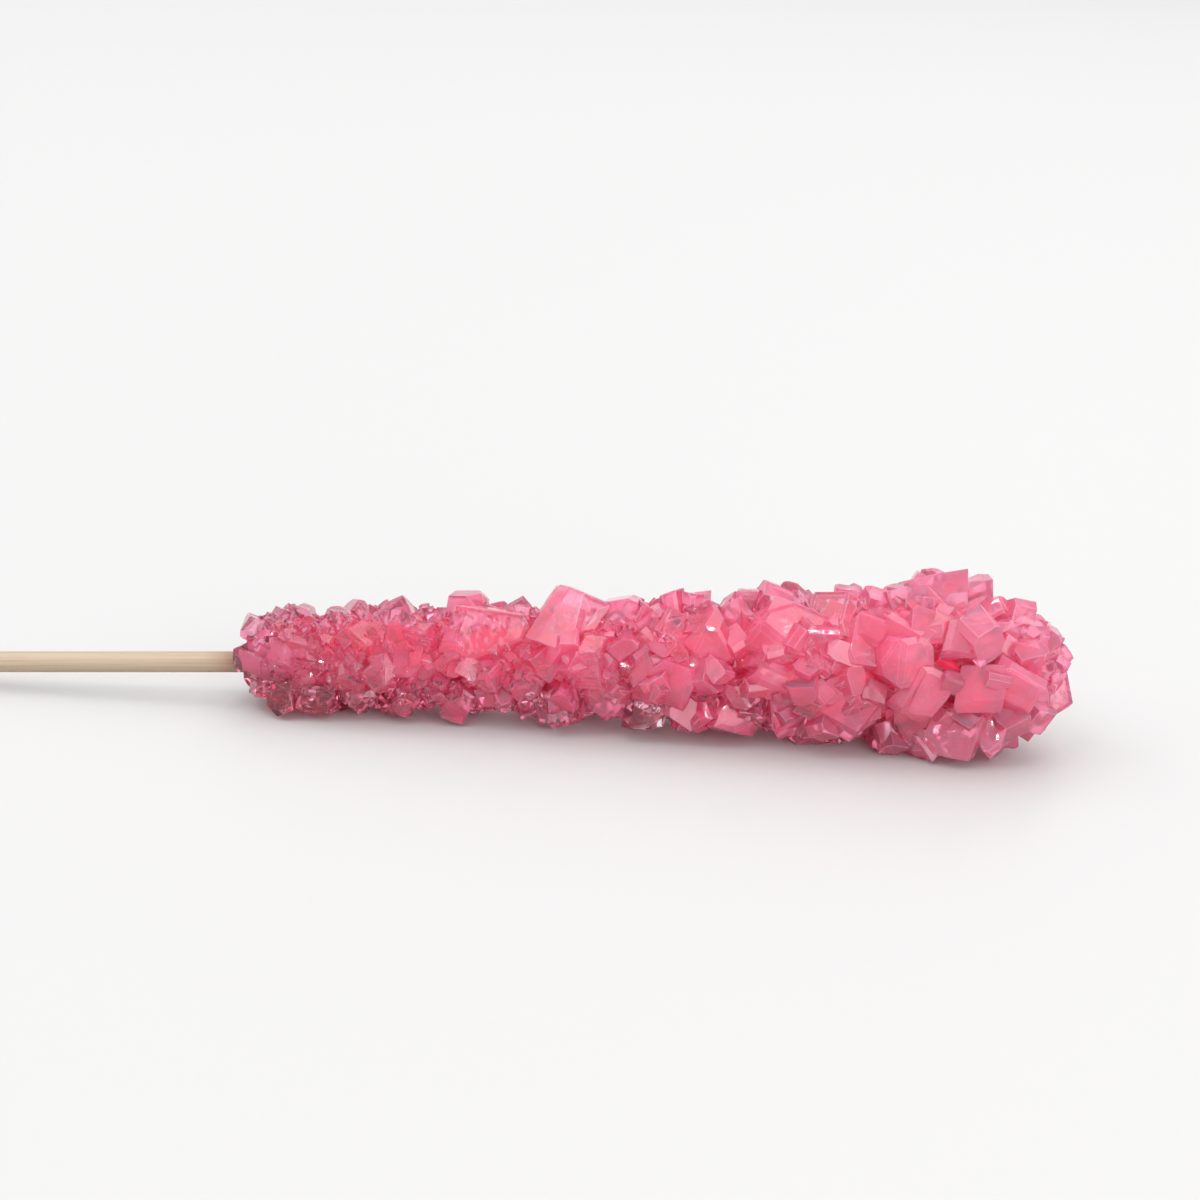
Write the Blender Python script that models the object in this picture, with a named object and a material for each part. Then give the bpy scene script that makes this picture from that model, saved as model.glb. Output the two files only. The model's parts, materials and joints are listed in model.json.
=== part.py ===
"""Rock candy stick: one mass of sugar crystals grown round the end of a thin wooden stick.

It lies on its side, as it lies on a table. X runs along the stick, from its bare end to the candy's
tip, and Z is up. Units are metres.
"""

import math
import random

import bmesh
import bpy
from mathutils import Matrix, Vector

MM = 0.001

# The stick: a round wooden rod.
TOTAL_LENGTH = 178 * MM
STICK_RADIUS = 1.5 * MM
STICK_CHAMFER = 0.3 * MM
STICK_SIDES = 24
FIT_GAP = 0.3 * MM

# The candy, along the stick.
CANDY_LENGTH = 118 * MM
TIP_COVER = 9 * MM

# How far the crystals reach from the stick's axis: (share of the candy's length, radius).
ENVELOPE = (
    (0.00, 4.6 * MM),
    (0.06, 6.9 * MM),
    (0.28, 7.3 * MM),
    (0.45, 8.2 * MM),
    (0.62, 9.4 * MM),
    (0.75, 10.9 * MM),
    (0.87, 12.4 * MM),
    (0.92, 9.6 * MM),
    (0.96, 6.6 * MM),
    (1.00, 3.0 * MM),
)
# The candy grows a little off the stick's axis: above it at the bare end, below it at the tip.
DRIFT_START = 0.9 * MM
DRIFT_END = -0.9 * MM

# The solid sugar under the crystals.
CORE_SHARE = 0.60  # of the envelope
CORE_START = 1.2 * MM
CORE_END = CANDY_LENGTH - 5.0 * MM
CORE_RINGS = 14
CORE_SIDES = 12

# Scattered crystals stand in rings. All but the first four values are shares of a crystal's size.
SEED = 11
SCATTER_START = 3.4 * MM
SCATTER_END = CANDY_LENGTH - 7.0 * MM
SCATTER_SIZE = (0.50, 0.68)  # of the envelope's radius
SIZE_LIMITS = (3.8 * MM, 7.6 * MM)
RING_STEP = 0.84
SIDE_STEP = 0.90
SINK = 0.58  # how deep a crystal's centre lies under the envelope
OWN_SIZE = (0.80, 1.15)
OUT_SHIFT = (-0.14, 0.10)
ALONG_SHIFT = 0.3
CLEAR_OF_LARGE = 0.62
SIDES = (0.77, 1.23)
AROUND_SHIFT = 0.2  # of the gap between two crystals of a ring

# A sugar crystal leans 13 degrees from a right angle. Two to four of its parallel edges are cut
# off, by a share of its half width, and sometimes one corner.
LEAN = math.radians(13)
CUT_SHARE = (0.16, 0.38)
CUT_TURN = (0.7, 1.4)
CUT_OTHER_WAY = 0.4
WHOLE_EDGE_CHANCE = 0.6
CUT_CORNER_CHANCE = 0.5
CUT_CORNER_AT = (0.62, 0.80)  # of the way from the middle to the corner

# How far a crystal may be turned from its ordered stand.
LARGE_TURN = math.radians(16)
SCATTER_TURN = math.radians(38)

# How the piece lies: the grown mass is turned about the stick, and the stick rises towards the tip.
FACE_UP = math.radians(15)
STICK_RISE = math.radians(3.6)
WORN_DEPTH = 0.9 * MM  # how much of the lowest corners is worn flat where the candy rests

SUGAR_PINK = (0.80, 0.16, 0.29)
SUGAR_ROUGHNESS = 0.15
BIRCH = (0.83, 0.68, 0.50)
BIRCH_ROUGHNESS = 0.7

SMOOTH_ANGLE = math.radians(30)
JOIN_WITHIN = 0.001 * MM
CUT_WITHIN = 0.0001 * MM

# Large crystals, in millimetres: along the stick, above it, in front of it, width, height, depth,
# and the turn in degrees, anticlockwise as seen from the front.
LARGE_CRYSTALS = (
    (3.0, 4.5, 2.0, 5.0, 3.4, 5.0, -20),
    (8.5, 5.2, 0.0, 4.4, 5.0, 5.0, 30),
    (13.5, 5.0, 1.0, 4.0, 5.4, 4.6, -12),
    (17.0, 5.2, 0.0, 4.8, 6.2, 5.0, 45),
    (23.2, 4.2, 2.5, 6.4, 8.0, 6.0, 37),
    (8.0, 1.6, 4.6, 6.4, 5.6, 4.0, -25),
    (24.2, 0.4, 5.0, 4.2, 4.6, 4.4, 4),
    (6.6, -4.6, 3.4, 4.0, 4.6, 4.4, 8),
    (11.6, -4.6, 3.6, 5.6, 4.4, 4.4, 2),
    (17.2, -3.8, 3.0, 4.0, 4.6, 4.4, 40),
    (23.4, -4.8, 2.4, 3.8, 4.4, 4.6, -6),
    (30.8, -5.0, 2.0, 3.8, 5.6, 4.6, 1),
    (36.0, -3.7, 2.0, 4.8, 5.4, 5.0, 12),
    (32.0, 7.2, -0.5, 5.0, 5.4, 5.0, -8),
    (34.8, 4.4, 4.6, 10.4, 6.8, 5.4, -3),
    (46.2, 6.0, 3.6, 7.8, 8.6, 6.6, -12),
    (53.6, 6.6, 1.0, 6.2, 5.0, 5.6, -5),
    (58.2, 5.4, 3.6, 5.8, 4.0, 5.0, 30),
    (54.2, 2.8, 6.2, 2.6, 4.2, 3.6, -25),
    (61.2, 7.4, 0.5, 3.6, 5.0, 5.0, 4),
    (64.2, 7.4, -0.5, 4.2, 5.0, 5.0, -4),
    (66.2, 3.0, 5.2, 6.8, 7.0, 6.0, 42),
    (71.0, 8.0, 0.0, 3.8, 4.4, 4.6, 12),
    (75.6, 8.4, -1.5, 5.8, 4.4, 5.2, -16),
    (76.8, 4.4, 6.0, 9.4, 8.2, 6.0, -6),
    (57.2, -6.8, 3.2, 5.8, 4.0, 3.8, -15),
    (62.6, -5.4, 3.6, 6.4, 6.0, 5.4, -22),
    (69.8, -7.0, 3.2, 7.4, 5.4, 5.4, -14),
    (76.8, -5.8, 3.4, 6.6, 7.2, 6.0, 40),
    (46.0, -4.4, 3.2, 4.4, 5.4, 5.0, 10),
    (52.4, -4.6, 3.0, 4.8, 4.2, 4.6, -30),
    (84.6, -5.4, 5.6, 8.4, 7.8, 6.4, -14),
    (91.4, -9.2, 2.6, 4.6, 3.2, 4.4, 20),
    (88.8, 4.8, 7.6, 6.4, 3.8, 5.0, -2),
    (95.0, 4.6, 8.4, 6.0, 3.6, 5.0, 3),
    (95.2, -3.4, 8.2, 5.8, 7.8, 5.0, -20),
    (97.6, 8.2, 2.0, 8.2, 7.4, 7.0, -3),
    (103.4, 9.0, 0.0, 4.6, 5.4, 6.0, 24),
    (102.0, 3.6, 9.0, 7.6, 5.0, 5.0, 0),
    (103.4, -3.2, 8.2, 6.6, 6.4, 5.6, 6),
    (100.6, -9.2, 4.4, 7.6, 6.6, 6.6, -8),
    (106.2, -8.2, 3.6, 6.8, 6.4, 6.4, 32),
    (106.2, 6.6, 1.4, 4.6, 4.6, 5.0, -34),
    (109.8, 3.8, 1.2, 6.0, 4.6, 5.0, -32),
    (109.2, 1.4, 5.6, 6.6, 5.0, 5.0, -5),
    (113.6, 0.6, -0.4, 4.6, 5.2, 5.0, 24),
    (112.4, -4.6, 1.2, 7.6, 6.2, 6.0, 36),
)


def envelope(along):
    """How far the crystals reach from the candy's middle line, at this distance along it."""
    share = min(max(along / CANDY_LENGTH, 0.0), 1.0)
    for (start, low), (end, high) in zip(ENVELOPE, ENVELOPE[1:]):
        if share <= end:
            part = (share - start) / (end - start)
            return low + (high - low) * part
    return ENVELOPE[-1][1]


def drift(along):
    """How far above the stick's axis the candy's middle line is."""
    return DRIFT_START + (DRIFT_END - DRIFT_START) * along / CANDY_LENGTH


def cut_away(bm, point, normal):
    """Cuts off what lies beyond a plane, and closes the cut with one flat face."""
    everything = bm.verts[:] + bm.edges[:] + bm.faces[:]
    bmesh.ops.bisect_plane(
        bm, geom=everything, plane_co=point, plane_no=normal, clear_outer=True, dist=CUT_WITHIN
    )
    bmesh.ops.holes_fill(bm, edges=[e for e in bm.edges if e.is_boundary])


def crystal(width, depth, height, place, rng):
    """One sugar crystal as a mesh: a leaning block whose edges are cut off at random."""
    bm = bmesh.new()
    bmesh.ops.create_cube(bm, size=1.0)
    half = Vector((width, depth, height)) / 2
    bm.transform(Matrix.Diagonal((*(half * 2), 1.0)))
    kept = rng.randrange(3)  # the axis that the cut edges run along
    first, second = (kept + 1) % 3, (kept + 2) % 3
    for sides in ((1, 1), (-1, -1), (1, -1), (-1, 1)):
        share = rng.uniform(*CUT_SHARE)
        turn = rng.uniform(*CUT_TURN)
        if sides[0] != sides[1] and rng.random() < WHOLE_EDGE_CHANCE:
            continue
        normal = Vector((0.0, 0.0, 0.0))
        normal[first] = sides[0] / half[first] * turn
        normal[second] = sides[1] / half[second]
        corner = Vector((0.0, 0.0, 0.0))
        corner[first] = sides[0] * half[first] * (1 - share)
        corner[second] = sides[1] * half[second] * (1 - share * CUT_OTHER_WAY)
        cut_away(bm, corner, normal.normalized())
    if rng.random() < CUT_CORNER_CHANCE:
        corner = Vector([rng.choice((-1, 1)) * h for h in half])
        cut_away(bm, corner * rng.uniform(*CUT_CORNER_AT), corner.normalized())
    bm.transform(Matrix.Shear("XY", 4, (math.tan(LEAN), 0.0)))
    bm.transform(place)
    bm.normal_update()
    bmesh.ops.recalc_face_normals(bm, faces=bm.faces[:])
    mesh = bpy.data.meshes.new("crystal")
    bm.to_mesh(mesh)
    bm.free()
    return mesh


def small_turn(rng, most):
    """A random turn of up to most radians about each axis."""
    turn = Matrix.Identity(4)
    for axis in "XYZ":
        turn = turn @ Matrix.Rotation(rng.uniform(-most, most), 4, axis)
    return turn


def large_crystals(rng):
    """The large crystals, as (centre, mesh). Their own axes are along, towards the back, and up."""
    grown = []
    for along, above, front, width, height, depth, turn in LARGE_CRYSTALS:
        centre = Vector((along, -front, above)) * MM
        place = (
            Matrix.Translation(centre)
            @ Matrix.Rotation(-math.radians(turn), 4, "Y")
            @ small_turn(rng, LARGE_TURN)
        )
        size = width * MM, depth * MM, height * MM
        grown.append((centre, crystal(*size, place, rng)))
    return grown


def scattered_crystals(rng, taken):
    """Rings of crystals that fill the envelope wherever no large crystal already is."""
    grown = []
    along = SCATTER_START
    while along < SCATTER_END:
        reach = envelope(along)
        size = min(max(reach * rng.uniform(*SCATTER_SIZE), SIZE_LIMITS[0]), SIZE_LIMITS[1])
        radius = reach - SINK * size
        count = max(3, round(math.tau * radius / (size * SIDE_STEP)))
        phase = rng.random()
        for number in range(count):
            sideways = rng.uniform(-AROUND_SHIFT, AROUND_SHIFT)
            angle = (number + phase + sideways) / count * math.tau
            own = size * rng.uniform(*OWN_SIZE)
            out = radius + rng.uniform(*OUT_SHIFT) * size
            shift = along + rng.uniform(-ALONG_SHIFT, ALONG_SHIFT) * size
            centre = Vector((shift, out * math.sin(angle), out * math.cos(angle) + drift(shift)))
            near = any((centre - other).length < CLEAR_OF_LARGE * own for other in taken)
            place = (
                Matrix.Translation(centre)
                @ Matrix.Rotation(-angle, 4, "X")
                @ Matrix.Rotation(rng.uniform(0, math.tau), 4, "Z")
                @ small_turn(rng, SCATTER_TURN)
            )
            sides = [own * rng.uniform(*SIDES) for _ in range(3)]
            mesh = crystal(*sides, place, rng)
            if not near:
                grown.append((centre, mesh))
        along += size * RING_STEP
    return grown


def joined(name, meshes):
    """One object that holds all of these meshes. They overlap until a Boolean joins them."""
    bm = bmesh.new()
    for mesh in meshes:
        bm.from_mesh(mesh)
        bpy.data.meshes.remove(mesh)
    whole = bpy.data.meshes.new(name)
    bm.to_mesh(whole)
    bm.free()
    return bpy.data.objects.new(name, whole)


def turned_solid(name, outline, sides):
    """A solid turned about X from (along, radius) points, whose two ends lie on the axis."""
    bm = bmesh.new()
    points = [bm.verts.new((along, 0.0, radius)) for along, radius in outline]
    edges = [bm.edges.new(pair) for pair in zip(points, points[1:])]
    bmesh.ops.spin(
        bm,
        geom=points + edges,
        axis=(1, 0, 0),
        cent=(0, 0, 0),
        angle=math.tau,
        steps=sides,
        use_merge=True,
    )
    bmesh.ops.remove_doubles(bm, verts=bm.verts[:], dist=JOIN_WITHIN)
    bmesh.ops.recalc_face_normals(bm, faces=bm.faces[:])
    mesh = bpy.data.meshes.new(name)
    bm.to_mesh(mesh)
    bm.free()
    return bpy.data.objects.new(name, mesh)


def rod(name, start, end, radius, chamfer):
    """A round rod along X with chamfered ends."""
    outline = (
        (start, 0.0),
        (start, radius - chamfer),
        (start + chamfer, radius),
        (end - chamfer, radius),
        (end, radius - chamfer),
        (end, 0.0),
    )
    return turned_solid(name, outline, STICK_SIDES)


def core(name):
    """The solid sugar that all crystals stand on: the envelope, made smaller."""
    outline = [(CORE_START, 0.0)]
    for ring in range(CORE_RINGS):
        along = CORE_START + (CORE_END - CORE_START) * ring / (CORE_RINGS - 1)
        outline.append((along, envelope(along) * CORE_SHARE))
    outline.append((outline[-1][0], 0.0))
    solid = turned_solid(name, outline, CORE_SIDES)
    for vertex in solid.data.vertices:
        vertex.co.z += drift(vertex.co.x)
    return solid


def helper(obj):
    """Marks an object that only shapes another one."""
    bpy.context.scene.collection.objects.link(obj)
    obj.hide_render = True
    obj.display_type = "WIRE"
    return obj


def combine(obj, operation, other, own=False):
    """Adds a Boolean modifier to obj."""
    modifier = obj.modifiers.new(operation.title() + " " + other.name, "BOOLEAN")
    modifier.operation = operation
    modifier.object = other
    modifier.solver = "EXACT"
    modifier.use_self = own


def outer_shell(obj, name):
    """The object as its modifiers leave it, without any sealed pocket inside it."""
    graph = bpy.context.evaluated_depsgraph_get()
    mesh = bpy.data.meshes.new_from_object(obj.evaluated_get(graph))
    bm = bmesh.new()
    bm.from_mesh(mesh)
    bm.verts.ensure_lookup_table()
    unseen = set(bm.verts)
    shells = []
    while unseen:
        shell = {unseen.pop()}
        edge_of_shell = list(shell)
        while edge_of_shell:
            vertex = edge_of_shell.pop()
            for edge in vertex.link_edges:
                other = edge.other_vert(vertex)
                if other in unseen:
                    unseen.discard(other)
                    shell.add(other)
                    edge_of_shell.append(other)
        shells.append(shell)
    largest = max(shells, key=len)
    bmesh.ops.delete(bm, geom=[v for v in bm.verts if v not in largest], context="VERTS")
    bm.to_mesh(mesh)
    bm.free()
    return bpy.data.objects.new(name, mesh)


def finish(name, colour, roughness):
    """A material of this colour, not a metal."""
    material = bpy.data.materials.new(name)
    material.use_nodes = True
    shader = material.node_tree.nodes["Principled BSDF"]
    shader.inputs["Base Color"].default_value = (*colour, 1.0)
    shader.inputs["Roughness"].default_value = roughness
    shader.inputs["Metallic"].default_value = 0.0
    return material


def pink_sugar():
    return finish("pink_sugar", SUGAR_PINK, SUGAR_ROUGHNESS)


def birch_wood():
    return finish("birch_wood", BIRCH, BIRCH_ROUGHNESS)


def lay_down(obj):
    """Turns the piece so that the stick rises towards the tip."""
    obj.data.transform(Matrix.Rotation(-STICK_RISE, 4, "Y"))


def move(obj, shift):
    obj.data.transform(Matrix.Translation(shift))


def table_block(top):
    """A large block whose flat top lies at this height."""
    bm = bmesh.new()
    bmesh.ops.create_cube(bm, size=2 * TOTAL_LENGTH)
    bmesh.ops.translate(bm, verts=bm.verts[:], vec=(0.0, 0.0, top - TOTAL_LENGTH))
    mesh = bpy.data.meshes.new("table")
    bm.to_mesh(mesh)
    bm.free()
    return bpy.data.objects.new("table", mesh)


def grown_candy():
    """All crystals and the sugar under them as one solid, without the stick's hole."""
    rng = random.Random(SEED)
    large = large_crystals(rng)
    small = scattered_crystals(rng, [centre for centre, _ in large])
    body = helper(core("core"))
    growth = helper(joined("growth", [mesh for _, mesh in large + small]))
    combine(body, "UNION", growth, own=True)
    candy = outer_shell(body, "candy")
    bpy.data.objects.remove(body)
    bpy.data.objects.remove(growth)
    return candy


def cut_to_shape(candy, bore, table):
    """The candy with the stick's hole in it and with its lowest corners worn flat."""
    for obj in (candy, bore, table):
        helper(obj)
    combine(candy, "DIFFERENCE", bore)
    combine(candy, "DIFFERENCE", table)
    crystals = outer_shell(candy, "crystals")
    for used in (candy, bore, table):
        bpy.data.objects.remove(used)
    return crystals


def main():
    for old in list(bpy.data.objects):
        bpy.data.objects.remove(old)

    candy = grown_candy()
    candy.data.transform(Matrix.Rotation(-FACE_UP, 4, "X"))
    start, end = CANDY_LENGTH - TOTAL_LENGTH, CANDY_LENGTH - TIP_COVER
    stick = rod("stick", start, end, STICK_RADIUS, STICK_CHAMFER)
    bore = rod("bore", start, end + FIT_GAP, STICK_RADIUS + FIT_GAP, STICK_CHAMFER)
    for obj in (candy, stick, bore):
        lay_down(obj)
    rests_at = min(v.co.z for v in candy.data.vertices) + WORN_DEPTH
    crystals = cut_to_shape(candy, bore, table_block(rests_at))

    points = [v.co for obj in (crystals, stick) for v in obj.data.vertices]
    middle = [(min(p[i] for p in points) + max(p[i] for p in points)) / 2 for i in range(2)]
    for obj in (crystals, stick):
        move(obj, (-middle[0], -middle[1], -rests_at))
        bpy.context.scene.collection.objects.link(obj)
    stick.data.shade_smooth()
    stick.data.set_sharp_from_angle(angle=SMOOTH_ANGLE)
    crystals.data.materials.append(pink_sugar())
    stick.data.materials.append(birch_wood())


main()
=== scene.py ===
"""A rock candy stick: pink sugar crystals grown round the end of a thin wooden stick.

It lies on a pale floor. X runs along the stick towards the tip of the candy. Units are metres.
"""

import json
import math
import random

import bmesh
import bpy
from mathutils import Matrix, Vector
from mathutils.bvhtree import BVHTree

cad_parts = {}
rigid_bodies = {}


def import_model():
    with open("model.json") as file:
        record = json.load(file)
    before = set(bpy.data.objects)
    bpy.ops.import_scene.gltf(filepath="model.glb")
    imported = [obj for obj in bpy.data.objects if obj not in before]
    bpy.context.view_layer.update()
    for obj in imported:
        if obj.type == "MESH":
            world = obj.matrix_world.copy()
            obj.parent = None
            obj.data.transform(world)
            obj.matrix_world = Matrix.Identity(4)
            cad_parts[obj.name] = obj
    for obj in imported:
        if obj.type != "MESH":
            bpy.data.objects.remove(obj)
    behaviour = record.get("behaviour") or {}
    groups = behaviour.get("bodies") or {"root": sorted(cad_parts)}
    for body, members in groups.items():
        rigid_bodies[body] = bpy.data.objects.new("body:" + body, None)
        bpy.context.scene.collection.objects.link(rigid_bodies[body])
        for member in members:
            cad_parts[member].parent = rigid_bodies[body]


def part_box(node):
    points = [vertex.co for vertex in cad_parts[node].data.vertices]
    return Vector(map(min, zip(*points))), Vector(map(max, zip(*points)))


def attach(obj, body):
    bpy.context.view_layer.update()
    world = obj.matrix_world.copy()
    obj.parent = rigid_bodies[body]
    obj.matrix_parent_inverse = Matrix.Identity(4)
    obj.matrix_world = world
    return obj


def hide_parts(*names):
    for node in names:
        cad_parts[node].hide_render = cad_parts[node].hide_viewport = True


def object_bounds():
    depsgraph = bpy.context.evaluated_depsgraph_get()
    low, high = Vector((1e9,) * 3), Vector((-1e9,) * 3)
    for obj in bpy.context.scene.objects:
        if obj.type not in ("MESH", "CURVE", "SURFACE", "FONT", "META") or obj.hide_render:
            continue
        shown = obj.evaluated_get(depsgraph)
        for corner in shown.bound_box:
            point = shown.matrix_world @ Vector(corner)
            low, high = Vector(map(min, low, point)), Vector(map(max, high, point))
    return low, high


for leftover in list(bpy.data.objects):
    bpy.data.objects.remove(leftover)
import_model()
cad_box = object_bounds()

# ---------------------------------------------------------------------------------------------
# The stick is a thin birch dowel, sawn off square at both ends and left uncoated. The sugar has
# grown round its far end, and syrup has soaked a little way along the bare wood.

MM = 0.001
STICK_LENGTH = 169 * MM
STICK_IN_CANDY = 109 * MM
STICK_RADIUS = 1.5 * MM
STICK_RISE = math.radians(3.6)

low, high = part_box("stick")
along_stick = Vector((math.cos(STICK_RISE), 0.0, math.sin(STICK_RISE)))
candy_start = (low + high) / 2 - along_stick * (STICK_IN_CANDY - STICK_LENGTH / 2)
lay_on_stick = Matrix.Translation(candy_start) @ Matrix.Rotation(-STICK_RISE, 4, "Y")

DOWEL_SIDES = 48
GROOVES = ((0.4, 0.020), (1.5, 0.030), (2.3, 0.018), (3.6, 0.026), (4.4, 0.020), (5.5, 0.028))
GROOVE_WIDTH = 0.16
SAWN_ROUNDING = 0.12 * MM
RING_SPACING = 2.0 * MM

bm = bmesh.new()
bmesh.ops.create_circle(bm, segments=DOWEL_SIDES, radius=STICK_RADIUS)
bmesh.ops.rotate(bm, verts=bm.verts[:], matrix=Matrix.Rotation(math.pi / 2, 3, "Y"))
bmesh.ops.translate(bm, verts=bm.verts[:], vec=(STICK_IN_CANDY - STICK_LENGTH, 0.0, 0.0))
rings = round(STICK_LENGTH / RING_SPACING)
edges = bm.edges[:]
first_ring = list(edges)
for _ in range(rings):
    grown = bmesh.ops.extrude_edge_only(bm, edges=edges)["geom"]
    ring = [part for part in grown if isinstance(part, bmesh.types.BMVert)]
    bmesh.ops.translate(bm, verts=ring, vec=(STICK_LENGTH / rings, 0.0, 0.0))
    edges = [part for part in grown if isinstance(part, bmesh.types.BMEdge)]
for vert in bm.verts:
    angle = math.atan2(vert.co.z, vert.co.y)
    dip = 0.0
    for centre, depth in GROOVES:
        off = math.remainder(angle - centre + 0.05 * math.sin(vert.co.x * 90), math.tau)
        dip += depth * MM * math.exp(-((off / GROOVE_WIDTH) ** 2))
    wave = 0.012 * MM * math.sin(vert.co.x * 700 + 3 * angle)
    shrunk = 1 - (dip + abs(wave)) / STICK_RADIUS
    vert.co.y *= shrunk
    vert.co.z *= shrunk
for ends in (first_ring, edges):
    bmesh.ops.edgeloop_fill(bm, edges=ends)
caps = [face for face in bm.faces if len(face.verts) > 4]
bmesh.ops.recalc_face_normals(bm, faces=bm.faces[:])
bmesh.ops.bevel(
    bm,
    geom=[edge for cap in caps for edge in cap.edges],
    offset=SAWN_ROUNDING,
    affect="EDGES",
    segments=2,
    profile=0.5,
    material=-1,
)
bm.transform(lay_on_stick)
mesh = bpy.data.meshes.new("birch_dowel")
bm.to_mesh(mesh)
bm.free()
mesh.shade_smooth()
mesh.set_sharp_from_angle(angle=math.radians(40))
birch_dowel = bpy.data.objects.new("birch_dowel", mesh)
bpy.context.scene.collection.objects.link(birch_dowel)

PALE_BIRCH = (0.42, 0.33, 0.24, 1.0)
GRAIN_BROWN = (0.25, 0.16, 0.09, 1.0)
SYRUP_STAIN = (0.24, 0.10, 0.06, 1.0)


def new_material(name):
    """An empty material with its node tree, its surface shader and its output."""
    material = bpy.data.materials.new(name)
    material.use_nodes = True
    return material, material.node_tree, material.node_tree.nodes["Principled BSDF"]


def in_candy_frame(tree):
    """Object coordinates measured from where the candy starts, with X along the stick."""
    place = tree.nodes.new("ShaderNodeTexCoord")
    turned = tree.nodes.new("ShaderNodeMapping")
    turned.vector_type = "TEXTURE"
    turned.inputs["Location"].default_value = candy_start
    turned.inputs["Rotation"].default_value = (0.0, -STICK_RISE, 0.0)
    tree.links.new(place.outputs["Object"], turned.inputs["Vector"])
    return turned.outputs["Vector"]


def stretched(tree, vector, scale):
    """The same coordinates, scaled along each axis."""
    mapping = tree.nodes.new("ShaderNodeMapping")
    mapping.inputs["Scale"].default_value = scale
    tree.links.new(vector, mapping.inputs["Vector"])
    return mapping.outputs["Vector"]


def noise(tree, vector, scale, detail=3.0, roughness=0.55, distortion=0.0):
    """Soft random values from 0 to 1. The scale is in features per metre."""
    made = tree.nodes.new("ShaderNodeTexNoise")
    made.inputs["Scale"].default_value = scale
    made.inputs["Detail"].default_value = detail
    made.inputs["Roughness"].default_value = roughness
    made.inputs["Distortion"].default_value = distortion
    tree.links.new(vector, made.inputs["Vector"])
    return made.outputs["Fac"]


def spread(tree, value, start, end, low=0.0, high=1.0):
    """The value mapped from start..end to low..high, and held there outside it."""
    made = tree.nodes.new("ShaderNodeMapRange")
    for name, number in (("From Min", start), ("From Max", end), ("To Min", low), ("To Max", high)):
        made.inputs[name].default_value = number
    tree.links.new(value, made.inputs["Value"])
    return made.outputs["Result"]


def mixed(tree, share, first, second):
    """Two colours mixed by a share. Each may be a colour or another node's output."""
    made = tree.nodes.new("ShaderNodeMix")
    made.data_type = "RGBA"
    for name, value in (("Factor_Float", share), ("A_Color", first), ("B_Color", second)):
        socket = next(s for s in made.inputs if s.identifier == name)
        if isinstance(value, bpy.types.NodeSocket):
            tree.links.new(value, socket)
        else:
            socket.default_value = value
    return next(s for s in made.outputs if s.identifier == "Result_Color")


def raised(tree, height, strength, distance, after=None):
    """A bump from a height value, on top of another bump if there is one."""
    made = tree.nodes.new("ShaderNodeBump")
    made.inputs["Strength"].default_value = strength
    made.inputs["Distance"].default_value = distance
    tree.links.new(height, made.inputs["Height"])
    if after:
        tree.links.new(after, made.inputs["Normal"])
    return made.outputs["Normal"]


def birch():
    """Birch with fine brown grain lines, stained by syrup where it enters the candy."""
    material, tree, shader = new_material("birch")
    place = in_candy_frame(tree)
    grain = noise(tree, stretched(tree, place, (30, 2600, 2600)), 1.0, 4.0, 0.6, 0.4)
    broad = noise(tree, stretched(tree, place, (14, 500, 500)), 1.0, 2.0)
    lines = spread(tree, grain, 0.46, 0.68)
    colour = mixed(tree, spread(tree, broad, 0.35, 0.7, 0.0, 0.35), PALE_BIRCH, GRAIN_BROWN)
    colour = mixed(tree, spread(tree, lines, 0.0, 1.0, 0.0, 0.55), colour, GRAIN_BROWN)
    parts = tree.nodes.new("ShaderNodeSeparateXYZ")
    tree.links.new(place, parts.inputs["Vector"])
    stain = spread(tree, parts.outputs["X"], -5.0 * MM, 1.5 * MM, 0.0, 0.8)
    colour = mixed(tree, stain, colour, SYRUP_STAIN)
    tree.links.new(colour, shader.inputs["Base Color"])
    tree.links.new(spread(tree, grain, 0.3, 0.7, 0.55, 0.8), shader.inputs["Roughness"])
    tree.links.new(raised(tree, grain, 0.5, 0.05 * MM), shader.inputs["Normal"])
    return material


birch_dowel.data.materials.append(birch())
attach(birch_dowel, "root")
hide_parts("stick")

# ---------------------------------------------------------------------------------------------
# The candy is rock sugar, grown from pink syrup on the stick: blocks that lean 13 degrees, each
# with cut edges and stepped faces, fused where they meet. The large ones stand where they are
# listed, others fill the rings between them, and fine ones grow in every hollow.

CANDY_LENGTH = 118 * MM
FACE_UP = math.radians(15)
SEED = 11
lay_candy = lay_on_stick @ Matrix.Rotation(-FACE_UP, 4, "X")

# How far the crystals reach from the candy's middle: (share of its length, millimetres).
REACH = (
    (0.00, 4.6), (0.06, 6.9), (0.28, 7.3), (0.45, 8.2), (0.62, 9.4),
    (0.75, 10.9), (0.87, 12.4), (0.92, 9.6), (0.96, 6.6), (1.00, 3.0),
)

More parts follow.
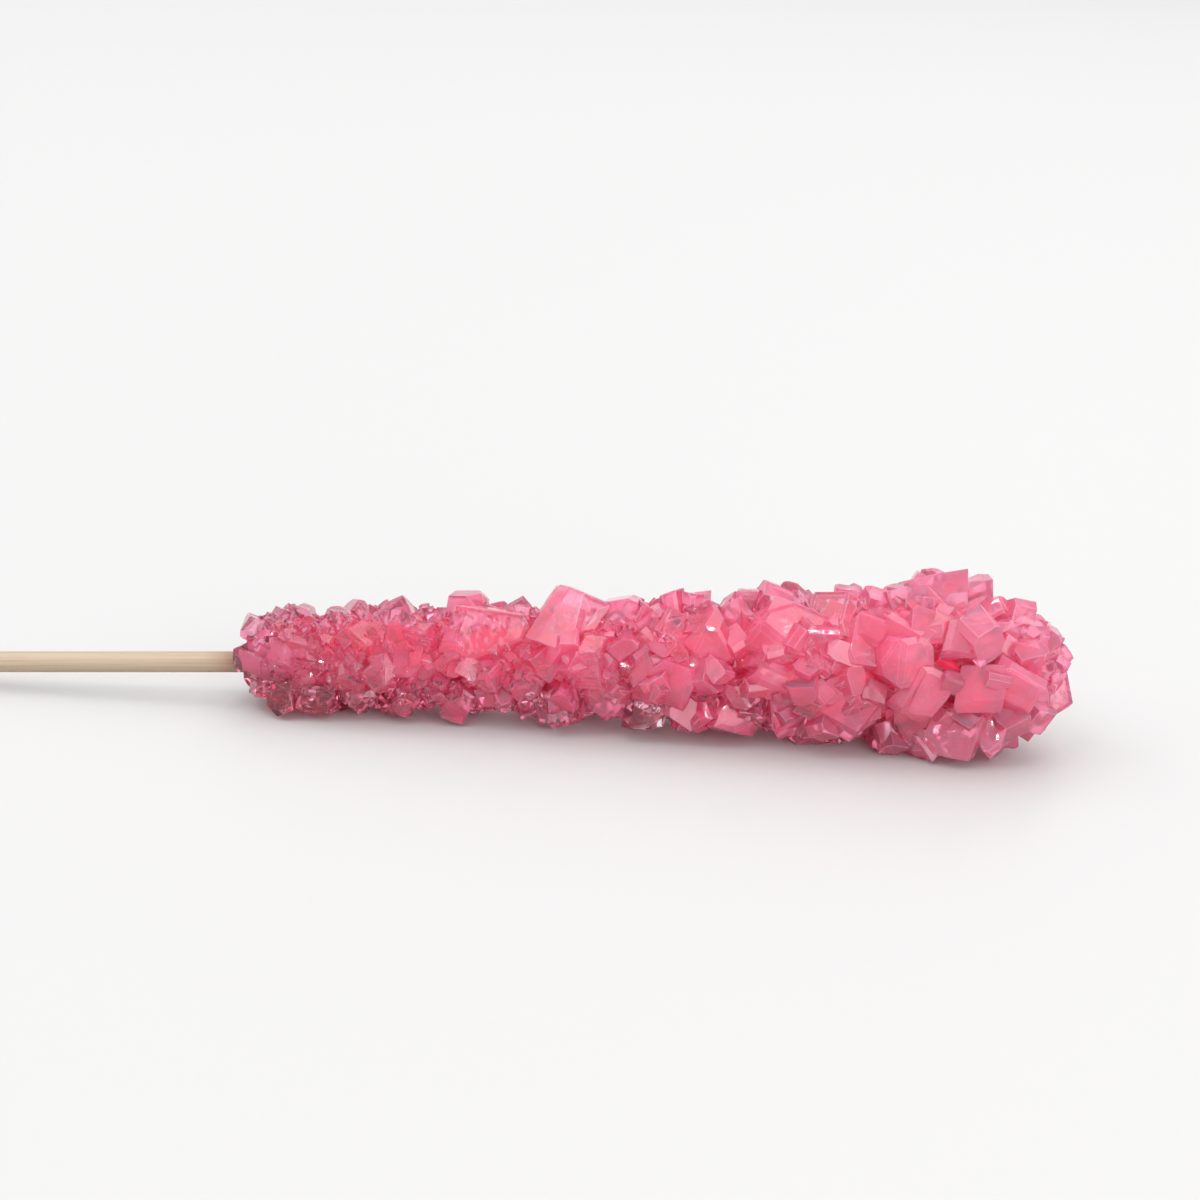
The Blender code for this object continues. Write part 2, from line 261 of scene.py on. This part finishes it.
# Large crystals, in millimetres: along the stick, above it, in front of it, width, height, depth,
# and the turn in degrees, anticlockwise as seen from the front.
LARGE_CRYSTALS = (
    (3.0, 4.5, 2.0, 5.0, 3.4, 5.0, -20), (8.5, 5.2, 0.0, 4.4, 5.0, 5.0, 30),
    (13.5, 5.0, 1.0, 4.0, 5.4, 4.6, -12), (17.0, 5.2, 0.0, 4.8, 6.2, 5.0, 45),
    (23.2, 4.2, 2.5, 6.4, 8.0, 6.0, 37), (8.0, 1.6, 4.6, 6.4, 5.6, 4.0, -25),
    (24.2, 0.4, 5.0, 4.2, 4.6, 4.4, 4), (6.6, -4.6, 3.4, 4.0, 4.6, 4.4, 8),
    (11.6, -4.6, 3.6, 5.6, 4.4, 4.4, 2), (17.2, -3.8, 3.0, 4.0, 4.6, 4.4, 40),
    (23.4, -4.8, 2.4, 3.8, 4.4, 4.6, -6), (30.8, -5.0, 2.0, 3.8, 5.6, 4.6, 1),
    (36.0, -3.7, 2.0, 4.8, 5.4, 5.0, 12), (32.0, 7.2, -0.5, 5.0, 5.4, 5.0, -8),
    (34.8, 4.4, 4.6, 10.4, 6.8, 5.4, -3), (46.2, 6.0, 3.6, 7.8, 8.6, 6.6, -12),
    (53.6, 6.6, 1.0, 6.2, 5.0, 5.6, -5), (58.2, 5.4, 3.6, 5.8, 4.0, 5.0, 30),
    (54.2, 2.8, 6.2, 2.6, 4.2, 3.6, -25), (61.2, 7.4, 0.5, 3.6, 5.0, 5.0, 4),
    (64.2, 7.4, -0.5, 4.2, 5.0, 5.0, -4), (66.2, 3.0, 5.2, 6.8, 7.0, 6.0, 42),
    (71.0, 8.0, 0.0, 3.8, 4.4, 4.6, 12), (75.6, 8.4, -1.5, 5.8, 4.4, 5.2, -16),
    (76.8, 4.4, 6.0, 9.4, 8.2, 6.0, -14), (57.2, -6.8, 4.4, 5.8, 4.0, 3.8, -15),
    (62.6, -5.4, 3.6, 6.4, 6.0, 5.4, -22), (69.8, -7.0, 3.2, 7.4, 5.4, 5.4, -14),
    (76.8, -5.8, 3.4, 6.6, 7.2, 6.0, 40), (46.0, -4.4, 3.2, 4.4, 5.4, 5.0, 10),
    (52.4, -4.6, 3.0, 4.8, 4.2, 4.6, -30), (84.6, -5.4, 5.6, 8.4, 7.8, 6.4, -14),
    (91.4, -9.2, 2.6, 4.6, 3.2, 4.4, 20), (88.8, 4.8, 7.6, 6.4, 3.8, 5.0, -2),
    (95.0, 4.6, 8.4, 6.0, 3.6, 5.0, 3), (95.2, -3.4, 8.2, 5.8, 7.8, 5.0, -20),
    (97.6, 8.2, 2.0, 8.2, 7.4, 7.0, -3), (103.4, 9.0, 0.0, 4.6, 5.4, 6.0, 24),
    (102.0, 3.6, 9.0, 7.6, 5.0, 5.0, 0), (103.4, -3.2, 8.2, 6.6, 6.4, 5.6, 6),
    (100.6, -9.2, 4.4, 7.6, 6.6, 6.6, -8), (106.2, -8.2, 3.6, 6.8, 6.4, 6.4, 32),
    (106.2, 6.6, 1.4, 4.6, 4.6, 5.0, -34), (109.8, 3.8, 1.2, 6.0, 4.6, 5.0, -32),
    (109.2, 1.4, 5.6, 6.6, 5.0, 5.0, -5), (113.6, 0.6, -0.4, 4.6, 5.2, 5.0, 24),
    (112.4, -4.6, 1.2, 7.6, 6.2, 6.0, 36),
)

COLOURLESS_AT = 57.2  # one crystal took up no dye: how far along it stands

LEAN = math.radians(13)
EDGE_ROUNDING = 0.12 * MM


def reach(along):
    """How far the crystals reach from the candy's middle line, at this distance along it."""
    share = min(max(along / CANDY_LENGTH, 0.0), 1.0)
    for (start, low), (end, high) in zip(REACH, REACH[1:]):
        if share <= end:
            return (low + (high - low) * (share - start) / (end - start)) * MM
    return REACH[-1][1] * MM


def drift(along):
    """How far above the stick's axis the candy's middle line is."""
    return 0.9 * MM * (1 - 2 * along / CANDY_LENGTH)


def cut_off(bm, point, normal):
    """Cuts off what lies beyond a plane, and closes the cut with one flat face."""
    everything = bm.verts[:] + bm.edges[:] + bm.faces[:]
    bmesh.ops.bisect_plane(
        bm, geom=everything, plane_co=point, plane_no=normal, clear_outer=True, dist=1e-7
    )
    bmesh.ops.holes_fill(bm, edges=[edge for edge in bm.edges if edge.is_boundary])


def crystal_block(width, depth, height, rng):
    """One leaning block of sugar whose edges are cut off at random."""
    bm = bmesh.new()
    bmesh.ops.create_cube(bm, size=1.0)
    half = Vector((width, depth, height)) / 2
    bm.transform(Matrix.Diagonal((width, depth, height, 1.0)))
    kept = rng.randrange(3)
    first, second = (kept + 1) % 3, (kept + 2) % 3
    for sides in ((1, 1), (-1, -1), (1, -1), (-1, 1)):
        share = rng.uniform(0.16, 0.38)
        turn = rng.uniform(0.7, 1.4)
        if sides[0] != sides[1] and rng.random() < 0.6:
            continue
        normal = Vector((0.0, 0.0, 0.0))
        normal[first] = sides[0] / half[first] * turn
        normal[second] = sides[1] / half[second]
        corner = Vector((0.0, 0.0, 0.0))
        corner[first] = sides[0] * half[first] * (1 - share)
        corner[second] = sides[1] * half[second] * (1 - share * 0.4)
        cut_off(bm, corner, normal.normalized())
    if rng.random() < 0.5:
        corner = Vector([rng.choice((-1, 1)) * h for h in half])
        cut_off(bm, corner * rng.uniform(0.62, 0.80), corner.normalized())
    bm.transform(Matrix.Shear("XY", 4, (math.tan(LEAN), 0.0)))
    bm.normal_update()
    bmesh.ops.recalc_face_normals(bm, faces=bm.faces[:])
    return bm


def facet(bm, cuts, least, rng):
    """Cuts slanting facets across corners and edges, each a little inside the block's reach."""
    for _ in range(cuts):
        normal = Vector([rng.gauss(0.0, 1.0) for _ in range(3)]).normalized()
        far = max(vert.co.dot(normal) for vert in bm.verts)
        cut_off(bm, normal * far * rng.uniform(least, 0.93), normal)


def random_turn(rng, most):
    """A small turn about each axis in turn, of up to this angle either way."""
    turn = Matrix.Identity(4)
    for axis in "XYZ":
        turn = turn @ Matrix.Rotation(rng.uniform(-most, most), 4, axis)
    return turn


def step_faces(bm, size, rng):
    """Growth steps: some faces carry a thin raised plate, as the last layer of sugar to form."""
    wide = [face for face in bm.faces if face.calc_area() > 0.30 * size * size]
    for face in wide:
        if rng.random() < 0.45:
            continue
        inset = rng.uniform(0.06, 0.16) * size
        bmesh.ops.inset_region(bm, faces=[face], thickness=inset, depth=0.0, use_even_offset=True)
        lift = rng.choice((-1, 1, 1)) * rng.uniform(0.015, 0.035) * size
        bmesh.ops.translate(bm, verts=face.verts[:], vec=face.normal * lift)


def new_growth(name):
    """A collection that holds blocks until they are fused."""
    growth = bpy.data.collections.new(name)
    bpy.context.scene.collection.children.link(growth)
    return growth


growing = new_growth("growing")


def grow(bm, place, tint, rounding=EDGE_ROUNDING, growth=growing):
    """Rounds a block's edges a little, puts it in place, and adds it to the growth."""
    # The rounded faces are marked so that the sugar's material can paint a highlight on them.
    painted_edge_highlight = bm.faces.layers.float.new("painted_edge_highlight")
    rounded = bmesh.ops.bevel(
        bm,
        geom=bm.edges[:],
        offset=rounding,
        affect="EDGES",
        segments=1,
        profile=0.5,
        material=-1,
        clamp_overlap=True,
    )
    for face in rounded["faces"]:
        face[painted_edge_highlight] = 1.0
    bm.transform(place)
    bm.normal_update()
    mesh = bpy.data.meshes.new("crystal")
    bm.to_mesh(mesh)
    bm.free()
    shade = mesh.attributes.new("tint", "FLOAT", "FACE")
    shade.data.foreach_set("value", [tint] * len(mesh.polygons))
    growth.objects.link(bpy.data.objects.new("crystal", mesh))


rng = random.Random(SEED)
looks = random.Random(SEED + 1)
large_centres = []
for along, above, front, width, height, depth, turn in LARGE_CRYSTALS:
    centre = Vector((along, -front, above)) * MM
    place = (
        Matrix.Translation(centre)
        @ Matrix.Rotation(-math.radians(turn), 4, "Y")
        @ random_turn(rng, math.radians(16))
    )
    block = crystal_block(width * MM, depth * MM, height * MM, rng)
    facet(block, 7, 0.74, looks)
    step_faces(block, min(width, height) * MM, looks)
    tint = looks.uniform(0.6, 1.0)
    if along == COLOURLESS_AT:
        colourless_centre = centre
        tint = 2.0
    grow(block, place, tint)
    large_centres.append(centre)

along = 3.4 * MM
while along < CANDY_LENGTH - 7.0 * MM:
    far = reach(along)
    size = min(max(far * rng.uniform(0.50, 0.68), 3.8 * MM), 7.6 * MM)
    radius = far - 0.58 * size
    count = max(3, round(math.tau * radius / (size * 0.90)))
    phase = rng.random()
    for number in range(count):
        sideways = rng.uniform(-0.2, 0.2)
        angle = (number + phase + sideways) / count * math.tau
        own = size * rng.uniform(0.80, 1.15)
        out = radius + rng.uniform(-0.14, 0.10) * size
        shift = along + rng.uniform(-0.3, 0.3) * size
        centre = Vector((shift, out * math.sin(angle), out * math.cos(angle) + drift(shift)))
        near = any((centre - other).length < 0.62 * own for other in large_centres)
        place = (
            Matrix.Translation(centre)
            @ Matrix.Rotation(-angle, 4, "X")
            @ Matrix.Rotation(rng.uniform(0, math.tau), 4, "Z")
            @ random_turn(rng, math.radians(38))
        )
        sides = [own * rng.uniform(0.77, 1.23) for _ in range(3)]
        block = crystal_block(*sides, rng)
        if near:
            block.free()
            continue
        facet(block, 5, 0.76, looks)
        step_faces(block, own, looks)
        grow(block, place, looks.random())
    along += size * 0.84


def skin_of(growth):
    """A tree that finds where a ray meets the blocks grown so far."""
    joined = bmesh.new()
    for crystal in growth.objects:
        joined.from_mesh(crystal.data)
    tree = BVHTree.FromBMesh(joined)
    joined.free()
    return tree


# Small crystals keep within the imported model's box. What lies under the floor is worn off later.
UNDER_FLOOR = 1.0 * MM
room = [corner.copy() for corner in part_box("crystals")]
room[0].z = -UNDER_FLOOR


CLEAR_ROUND_COLOURLESS = 4.4 * MM  # no small ones grow over the colourless crystal


def seed_crystals(tries, sizes, chance, sink, cuts, rounding, rng):
    """Plants small crystals on the skin. The chance of one depends on how deep the skin lies."""
    skin = skin_of(growing)
    for _ in range(tries):
        along = rng.uniform(1.0, 116.0) * MM
        angle = rng.uniform(0.0, math.tau)
        outward = Vector((0.0, math.sin(angle), math.cos(angle)))
        source = Vector((along, 0.0, drift(along))) + outward * 20 * MM
        slant = Vector((rng.uniform(-0.4, 0.4), 0.0, 0.0))
        hit, normal, _, _ = skin.ray_cast(source, (slant - outward).normalized())
        if hit is None or (hit - colourless_centre).length < CLEAR_ROUND_COLOURLESS:
            continue
        sunk = 1 - math.hypot(hit.y, hit.z - drift(hit.x)) / reach(hit.x)
        if rng.random() > chance(sunk, hit.x / CANDY_LENGTH):
            continue
        size = rng.uniform(*sizes) * MM * (0.8 + 0.5 * hit.x / CANDY_LENGTH)
        place = (
            Matrix.Translation(hit - normal * size * sink)
            @ normal.to_track_quat("Z", "X").to_matrix().to_4x4()
            @ random_turn(rng, math.radians(60))
        )
        block = crystal_block(*[size * rng.uniform(0.7, 1.3) for _ in range(3)], rng)
        facet(block, cuts, 0.8, rng)
        corners = [lay_candy @ place @ vert.co for vert in block.verts]
        tint = rng.random()
        if all(room[0][i] < corner[i] < room[1][i] for corner in corners for i in range(3)):
            grow(block, place, tint, rounding)
        else:
            block.free()


def small_ones(sunk, share):
    """The chance of a small crystal: greater in the hollows and a little towards the tip."""
    return 0.10 + sunk * 1.6 + 0.12 * share


def fine_ones(sunk, share):
    """The chance of a fine crystal: only in the hollows, and more towards the bare stick."""
    return sunk * 2.6 - 0.3 + 0.5 * (1 - share) ** 2


seed_crystals(2000, (2.0, 3.6), small_ones, 0.22, 2, 0.07 * MM, looks)
seed_crystals(7000, (0.8, 1.8), fine_ones, 0.1, 0, 0.03 * MM, looks)

CORE_RINGS = 14


def sugar_core(share):
    """The solid sugar that the crystals stand on, as a share of their reach."""
    bm = bmesh.new()
    outline = [bm.verts.new((1.2 * MM, 0.0, 0.0))]
    for ring in range(CORE_RINGS):
        along = (1.2 + 111.8 * ring / (CORE_RINGS - 1)) * MM
        outline.append(bm.verts.new((along, 0.0, reach(along) * share)))
    outline.append(bm.verts.new((113.0 * MM, 0.0, 0.0)))
    line = [bm.edges.new(pair) for pair in zip(outline, outline[1:])]
    axis = {"axis": (1, 0, 0), "cent": (0, 0, 0), "angle": math.tau, "steps": 16}
    bmesh.ops.spin(bm, geom=outline + line, use_merge=True, **axis)
    bmesh.ops.remove_doubles(bm, verts=bm.verts[:], dist=1e-6)
    for vert in bm.verts:
        vert.co.z += drift(vert.co.x)
    bmesh.ops.recalc_face_normals(bm, faces=bm.faces[:])
    mesh = bpy.data.meshes.new("sugar_core")
    bm.to_mesh(mesh)
    bm.free()
    mesh.attributes.new("tint", "FLOAT", "FACE")
    mesh.attributes.new("painted_edge_highlight", "FLOAT", "FACE")
    return mesh


def keep_largest_shell(bm):
    """Deletes every closed shell but the largest, such as the sealed pockets inside."""
    unseen = set(bm.verts)
    shells = []
    while unseen:
        shell = [unseen.pop()]
        for vert in shell:
            for edge in vert.link_edges:
                other = edge.other_vert(vert)
                if other in unseen:
                    unseen.discard(other)
                    shell.append(other)
        shells.append(shell)
    shells.sort(key=len)
    loose = [vert for shell in shells[:-1] for vert in shell]
    bmesh.ops.delete(bm, geom=loose, context="VERTS")


def fuse(growth, core_share, name):
    """Fuses the growth with its core, and keeps the outer skin without the sealed pockets."""
    core = bpy.data.objects.new("sugar_core", sugar_core(core_share))
    bpy.context.scene.collection.objects.link(core)
    fused = core.modifiers.new("Fused crystals", "BOOLEAN")
    fused.operation = "UNION"
    fused.solver = "MANIFOLD"
    fused.operand_type = "COLLECTION"
    fused.collection = growth
    evaluated = core.evaluated_get(bpy.context.evaluated_depsgraph_get())
    mesh = bpy.data.meshes.new_from_object(evaluated)
    mesh.name = name
    bm = bmesh.new()
    bm.from_mesh(mesh)
    keep_largest_shell(bm)
    bm.to_mesh(mesh)
    bm.free()
    mesh.materials.clear()
    bpy.data.objects.remove(core)
    for crystal in list(growth.objects):
        bpy.data.objects.remove(crystal)
    bpy.data.collections.remove(growth)
    return mesh


def lay_on_floor(mesh):
    """Turns the mesh as the candy lies, and wears its lowest corners flat on the floor."""
    bm = bmesh.new()
    bm.from_mesh(mesh)
    bm.transform(lay_candy)
    cut_off(bm, Vector((0.0, 0.0, 0.0)), Vector((0.0, 0.0, -1.0)))
    keep_largest_shell(bm)
    bm.to_mesh(mesh)
    bm.free()


candy = fuse(growing, 0.64, "rock_candy")
lay_on_floor(candy)
rock_candy = bpy.data.objects.new("rock_candy", candy)
bpy.context.scene.collection.objects.link(rock_candy)

# How deep in the growth a point lies: 0 at the outermost corners and 1 at the sugar's core. The
# sugar's material uses it to paint shade into the hollows.
into_candy = lay_candy.inverted()
sunk_in = []
for vert in candy.vertices:
    own = into_candy @ vert.co
    off_axis = math.hypot(own.y, own.z - drift(own.x))
    sunk_in.append(min(max(1 - (off_axis / reach(own.x) - 0.45) / 0.55, 0.0), 1.0))
depth = candy.attributes.new("depth", "FLOAT", "POINT")
depth.data.foreach_set("value", sunk_in)

CLEAR_PINK = (0.98, 0.40, 0.57, 1.0)
ROSE = (0.95, 0.145, 0.31, 1.0)
SHADE_ROSE = (0.95, 0.055, 0.17, 1.0)
MAUVE = (0.70, 0.32, 0.45, 1.0)
PALE_PINK = (1.0, 0.44, 0.60, 1.0)
COLOURLESS = (0.93, 0.82, 0.86, 1.0)
# A paler pink for the veins inside the sugar and for the highlight painted on the rounded edges.
VEIN_AND_EDGE_HIGHLIGHT_PINK = (1.0, 0.62, 0.72, 1.0)
SHADE_RED = (0.55, 0.025, 0.06, 1.0)


def mixed_value(tree, share, first, second):
    """Two numbers mixed by a share. The first is another node's output."""
    made = tree.nodes.new("ShaderNodeMix")
    tree.links.new(share, made.inputs[0])
    tree.links.new(first, made.inputs[2])
    made.inputs[3].default_value = second
    return made.outputs[0]


def worked_out(tree, operation, first, second=0.0):
    """The result of one sum on a node's output and a number or another output."""
    made = tree.nodes.new("ShaderNodeMath")
    made.operation = operation
    for socket, value in zip(made.inputs, (first, second)):
        if isinstance(value, bpy.types.NodeSocket):
            tree.links.new(value, socket)
        else:
            socket.default_value = value
    return made.outputs["Value"]


def rock_sugar():
    """Milky pink sugar with glossy faces, mauve at the bare end. Painted shade makes it deeper rose
    in the hollows and on the underside and dark red low at the bare end; a painted highlight makes
    its rounded edges paler.
    """
    material, tree, shader = new_material("rock_sugar")
    place = in_candy_frame(tree)
    shade = tree.nodes.new("ShaderNodeAttribute")
    shade.attribute_name = "tint"
    deep = tree.nodes.new("ShaderNodeAttribute")
    deep.attribute_name = "depth"
    clouds = noise(tree, place, 160, 3.0, 0.6)
    fine = noise(tree, place, 900, 4.0, 0.6, 0.6)
    colour = mixed(tree, spread(tree, shade.outputs["Fac"], 0.0, 1.0), CLEAR_PINK, ROSE)
    # Painted shade: the hollows between crystals are painted a deeper rose the deeper they lie.
    colour = mixed(tree, spread(tree, deep.outputs["Fac"], 0.15, 0.85), colour, SHADE_ROSE)
    colour = mixed(tree, spread(tree, clouds, 0.42, 0.65, 0.0, 0.6), colour, CLEAR_PINK)
    veins = noise(tree, place, 330, 2.0, 0.5, 1.6)
    from_vein = worked_out(tree, "ABSOLUTE", worked_out(tree, "SUBTRACT", veins, 0.5))
    vein = spread(tree, from_vein, 0.02, 0.0)
    vein = worked_out(tree, "MULTIPLY", vein, 0.3)
    colour = mixed(tree, vein, colour, VEIN_AND_EDGE_HIGHLIGHT_PINK)
    parts = tree.nodes.new("ShaderNodeSeparateXYZ")
    tree.links.new(place, parts.inputs["Vector"])
    bare_end = spread(tree, parts.outputs["X"], 34 * MM, 4 * MM, 0.0, 0.7)
    colour = mixed(tree, bare_end, colour, MAUVE)
    paler_end = spread(tree, parts.outputs["X"], 70 * MM, 105 * MM, 0.0, 0.4)
    colour = mixed(tree, paler_end, colour, PALE_PINK)
    # Painted shade: the underside of the candy is painted a deeper rose.
    painted_underside_shade = spread(tree, parts.outputs["Z"], 1.0 * MM, -7.0 * MM, 0.0, 0.2)
    colour = mixed(tree, painted_underside_shade, colour, SHADE_ROSE)
    # Painted shade: the low side of the bare end is painted dark red.
    low = spread(tree, parts.outputs["Z"], 2.0 * MM, -5.0 * MM)
    shaded_low_bare_end = worked_out(tree, "MULTIPLY", low, bare_end)
    colour = mixed(tree, shaded_low_bare_end, colour, SHADE_RED)
    painted_edge_highlight = tree.nodes.new("ShaderNodeAttribute")
    painted_edge_highlight.attribute_name = "painted_edge_highlight"
    # Painted highlight: the rounded edges of the crystals are painted a paler pink, as if lit along
    # their edges.
    edge_highlight_share = spread(tree, painted_edge_highlight.outputs["Fac"], 0.0, 1.0, 0.0, 0.22)
    colour = mixed(tree, edge_highlight_share, colour, VEIN_AND_EDGE_HIGHLIGHT_PINK)
    undyed = spread(tree, shade.outputs["Fac"], 1.2, 2.0)
    colour = mixed(tree, undyed, colour, COLOURLESS)
    tree.links.new(colour, shader.inputs["Base Color"])
    shader.inputs["IOR"].default_value = 1.54
    clear = spread(tree, shade.outputs["Fac"], 0.0, 1.0, 0.92, 0.70)
    clearer_end = spread(tree, parts.outputs["X"], 50 * MM, 10 * MM)
    clear = mixed_value(tree, clearer_end, clear, 0.95)
    milky_end = spread(tree, parts.outputs["X"], 75 * MM, 105 * MM, 0.0, 0.5)
    clear = mixed_value(tree, milky_end, clear, 0.70)
    clear = mixed_value(tree, edge_highlight_share, clear, 0.5)
    clear = mixed_value(tree, undyed, clear, 1.0)
    tree.links.new(clear, shader.inputs["Transmission Weight"])
    shader.inputs["Subsurface Weight"].default_value = 0.8
    shader.inputs["Subsurface Radius"].default_value = (1.0, 0.35, 0.5)
    shader.inputs["Subsurface Scale"].default_value = 3.0 * MM
    tree.links.new(spread(tree, fine, 0.40, 0.75, 0.01, 0.08), shader.inputs["Roughness"])
    layers = spread(tree, clouds, 0.0, 1.0, 0.0, 14.0)
    steps = worked_out(tree, "FLOOR", layers)
    ripple = raised(tree, clouds, 0.22, 0.6 * MM)
    ripple = raised(tree, steps, 0.6, 0.02 * MM, ripple)
    tree.links.new(raised(tree, fine, 0.05, 0.10 * MM, ripple), shader.inputs["Normal"])
    return material


rock_candy.data.materials.append(rock_sugar())
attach(rock_candy, "root")
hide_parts("crystals")

# ---------------------------------------------------------------------------------------------
# The heart of the candy is the sugar that grew first: many small crystals round the stick, cloudy
# and deep rose. It shows through the clearer crystals that grew over it.

HEART_CRYSTALS = 800
first_sugar = new_growth("first_sugar")
for _ in range(HEART_CRYSTALS):
    along = looks.uniform(5.0, 111.0) * MM
    angle = looks.uniform(0.0, math.tau)
    size = looks.uniform(0.18, 0.36) * reach(along)
    out = reach(along) * looks.uniform(0.38, 0.52)
    centre = Vector((along, out * math.sin(angle), out * math.cos(angle) + drift(along)))
    place = Matrix.Translation(centre) @ random_turn(looks, math.pi)
    sides = [size * looks.uniform(0.7, 1.3) for _ in range(3)]
    grow(crystal_block(*sides, looks), place, looks.random(), 0.05 * MM, first_sugar)
heart = fuse(first_sugar, 0.48, "sugar_heart")
heart.transform(lay_candy)
sugar_heart = bpy.data.objects.new("sugar_heart", heart)
bpy.context.scene.collection.objects.link(sugar_heart)


PALE_CLOUDY = (0.99, 0.32, 0.47, 1.0)
DEEP_CLOUDY = (0.95, 0.05, 0.14, 1.0)
CLOUD_PINK = (0.99, 0.60, 0.70, 1.0)


def cloudy_sugar():
    """Cloudy rose sugar, a little paler on some crystals than on others."""
    material, tree, shader = new_material("cloudy_sugar")
    place = in_candy_frame(tree)
    shade = tree.nodes.new("ShaderNodeAttribute")
    shade.attribute_name = "tint"
    clouds = noise(tree, place, 260, 3.0, 0.6)
    colour = mixed(tree, shade.outputs["Fac"], PALE_CLOUDY, DEEP_CLOUDY)
    colour = mixed(tree, spread(tree, clouds, 0.4, 0.7, 0.0, 0.4), colour, CLOUD_PINK)
    tree.links.new(colour, shader.inputs["Base Color"])
    shader.inputs["Subsurface Weight"].default_value = 0.5
    shader.inputs["Subsurface Radius"].default_value = (1.0, 0.3, 0.4)
    shader.inputs["Subsurface Scale"].default_value = 1.2 * MM
    shader.inputs["Specular IOR Level"].default_value = 0.1
    shader.inputs["Roughness"].default_value = 0.4
    return material


sugar_heart.data.materials.append(cloudy_sugar())
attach(sugar_heart, "root")

# ---------------------------------------------------------------------------------------------
# A plain pale floor under soft studio lights, and the camera low in front of the candy.

FLOOR_SIZE = 20.0
bm = bmesh.new()
bmesh.ops.create_grid(bm, x_segments=1, y_segments=1, size=FLOOR_SIZE / 2)
mesh = bpy.data.meshes.new("floor")
bm.to_mesh(mesh)
bm.free()
floor = bpy.data.objects.new("floor", mesh)
bpy.context.scene.collection.objects.link(floor)


FLOOR_GREY = (0.49, 0.486, 0.478, 1.0)


def pale_floor():
    """A plain matt floor, which the lamps bring up to a pale tone."""
    material, tree, shader = new_material("pale_floor")
    shader.inputs["Base Color"].default_value = FLOOR_GREY
    shader.inputs["Roughness"].default_value = 0.6
    return material


floor.data.materials.append(pale_floor())

middle = Vector([(a + b) / 2 for a, b in zip(*cad_box)])


def soft_light(name, azimuth, elevation, distance, width, height, power):
    """A flat lamp that faces the candy's middle. Azimuth 0 is in front and 90 is at the tip."""
    lamp = bpy.data.lights.new(name, "AREA")
    lamp.shape = "RECTANGLE"
    lamp.size = width
    lamp.size_y = height
    lamp.energy = power
    turn, up = math.radians(azimuth), math.radians(elevation)
    offset = Vector((math.sin(turn) * math.cos(up), -math.cos(turn) * math.cos(up), math.sin(up)))
    obj = bpy.data.objects.new(name, lamp)
    obj.location = middle + offset * distance
    obj.rotation_euler = (-offset).to_track_quat("-Z", "Y").to_euler()
    bpy.context.scene.collection.objects.link(obj)


soft_light("window", -38, 52, 2.7, 0.066, 1.65, 7.2)
soft_light("side_panel", -80, 50, 8.0, 5.6, 5.6, 120.0)
soft_light("top_panel", 150, 70, 4.0, 4.8, 3.2, 64.0)
soft_light("front_panel", 34, 16, 12.0, 10.8, 6.0, 540.0)
STRIPS = ((28, 30), (-62, 34), (8, 68), (165, 38), (100, 22), (-15, 24), (60, 52), (-110, 40))
for number, (azimuth, elevation) in enumerate(STRIPS):
    soft_light(f"strip_{number}", azimuth, elevation, 2.4, 0.030, 0.72, 2.9)

world = bpy.data.worlds.new("studio")
world.use_nodes = True
world.node_tree.nodes["Background"].inputs["Color"].default_value = (0.95, 0.95, 0.97, 1.0)
world.node_tree.nodes["Background"].inputs["Strength"].default_value = 1.1
bpy.context.scene.world = world

bpy.context.scene.view_settings.view_transform = "Standard"

CAMERA_ELEVATION = math.radians(18)
CAMERA_DISTANCE = 0.334
MM_PER_UNIT = 0.1413 * MM  # what one of the picture's 1200 units covers at the candy
SENSOR = 36.0
sight = Vector((0.0, math.cos(CAMERA_ELEVATION), -math.sin(CAMERA_ELEVATION)))
right = (along_stick - sight * along_stick.dot(sight)).normalized()
up = right.cross(sight)
target = candy_start + along_stick * 360 * MM_PER_UNIT + up * 62 * MM_PER_UNIT
eye = bpy.data.cameras.new("camera")
eye.sensor_width = SENSOR
eye.lens = SENSOR * CAMERA_DISTANCE / (1200 * MM_PER_UNIT)
eye.clip_start = 0.01
camera = bpy.data.objects.new("camera", eye)
facing = Matrix((right, up, -sight)).transposed().to_4x4()
camera.matrix_world = Matrix.Translation(target - sight * CAMERA_DISTANCE) @ facing
bpy.context.scene.collection.objects.link(camera)
bpy.context.scene.camera = camera
